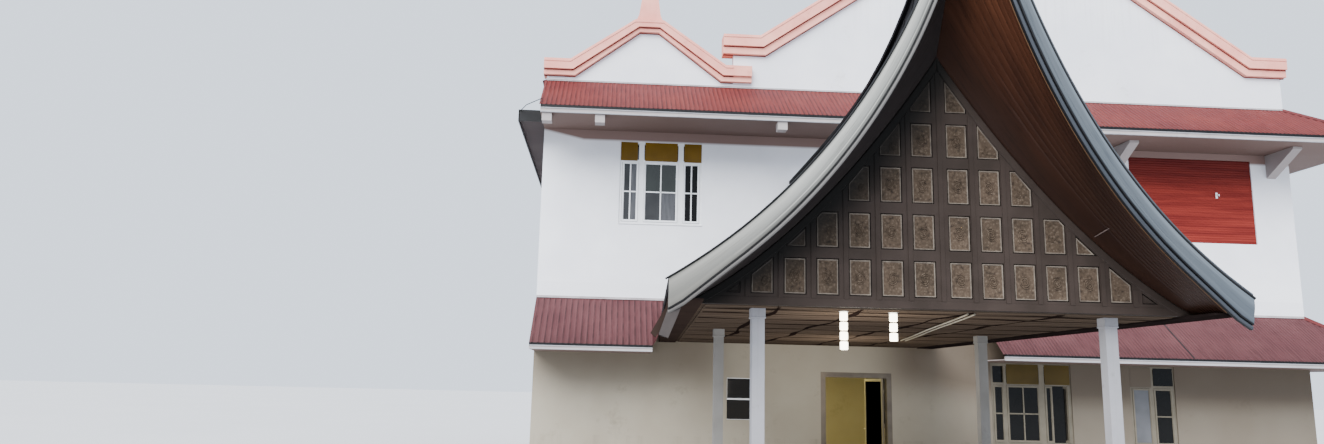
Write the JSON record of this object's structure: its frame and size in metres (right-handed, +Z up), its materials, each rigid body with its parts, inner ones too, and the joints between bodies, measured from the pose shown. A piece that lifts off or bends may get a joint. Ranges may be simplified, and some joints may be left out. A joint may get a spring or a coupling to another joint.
{
  "type": "tongkonan-style house with an entrance porch",
  "caption": "Two-storey plastered hall with stepped gable parapets and red awnings, entered through a porch with a curved boat-shaped roof, carved gable panels and square columns.",
  "frame": {"origin": "foot of the front wall's middle plane, on the axis of the porch", "axes": "+X along the front wall to the right as one faces it, +Y into the building, +Z up"},
  "size_m": [19.51, 19.6085, 14.7283],
  "materials": {
    "wall_plaster": "painted plaster, matt, lightly streaked",
    "concrete": "plain concrete",
    "pink_coping": "painted mortar, matt",
    "red_sheet": "ribbed painted sheet, weathered",
    "red_cladding": "ribbed painted sheet",
    "white_trim": "satin paint",
    "window_glass": "dark glass",
    "amber_glass": "amber glass",
    "dark_sheet": "dark sheet, satin",
    "barge_metal": "satin sheet over board, streaked",
    "grey_trim": "satin paint",
    "brown_boards": "varnished boards",
    "gable_wood": "painted wood",
    "carved_panel": "carved relief, worn edges",
    "column_paint": "painted, satin",
    "door_metal": "mill finish",
    "lamp_glow": "frosted tube"
  },
  "bodies": {
    "house": {"ground_floor": "concrete", "upper_floor": "concrete", "roof_deck": "wall_plaster", "front_wall_left": "wall_plaster", "front_wall_over_door": "wall_plaster", "front_wall_right": "wall_plaster", "front_wall_upper": "wall_plaster", "left_wall": "wall_plaster", "right_wall": "wall_plaster", "back_wall": "wall_plaster", "gable_walls_front": "wall_plaster", "gable_walls_back": "wall_plaster", "small_coping_front": "pink_coping", "small_coping_back": "pink_coping", "large_coping_front": "pink_coping", "large_coping_back": "pink_coping", "small_roof": "red_sheet", "large_roof": "red_sheet", "lower_awning_left_roof": "red_sheet", "lower_awning_right_roof": "red_sheet", "upper_awning_roof": "red_sheet", "lower_awning_left_eave": "white_trim", "lower_awning_right_eave": "white_trim", "upper_awning_eave": "white_trim", "left_gutter_shelf": "concrete", "right_windows_lower": "window_glass", "right_windows_upper": "window_glass", "back_windows_lower": "window_glass", "back_windows_upper": "window_glass", "upper_window_frame": "white_trim", "upper_window_glass": "window_glass", "porch_window_frame": "white_trim", "porch_window_glass": "window_glass", "hall_window_frame": "white_trim", "hall_window_glass": "window_glass", "side_room_window_frame": "white_trim", "side_room_window_glass": "window_glass", "clad_panel": "red_cladding", "door_frame": "door_metal", "porch_ceiling": "brown_boards", "eave_board_left": "dark_sheet", "eave_board_right": "dark_sheet", "column_front_left": "column_paint", "column_front_right": "column_paint", "column_back_left": "column_paint", "column_back_right": "column_paint", "porch_lamp_left": "lamp_glow", "porch_lamp_right": "lamp_glow", "porch_roof_left": "dark_sheet", "porch_roof_right": "dark_sheet", "porch_ridge": "dark_sheet", "barge_board_left": "barge_metal", "barge_board_right": "barge_metal", "roof_lining_left": "brown_boards", "roof_lining_right": "brown_boards", "gable_backing": "carved_panel", "gable_frame": "gable_wood"},
    "door": {"door_leaf": "white_trim"}
  },
  "joints": [
    {"name": "door_hinge", "type": "hinge", "parent": "house", "child": "door", "pos_m": [2.0095, 0.112, 0.1], "axis": [0, 0, 1], "range_deg": [0, 90]}
  ]
}
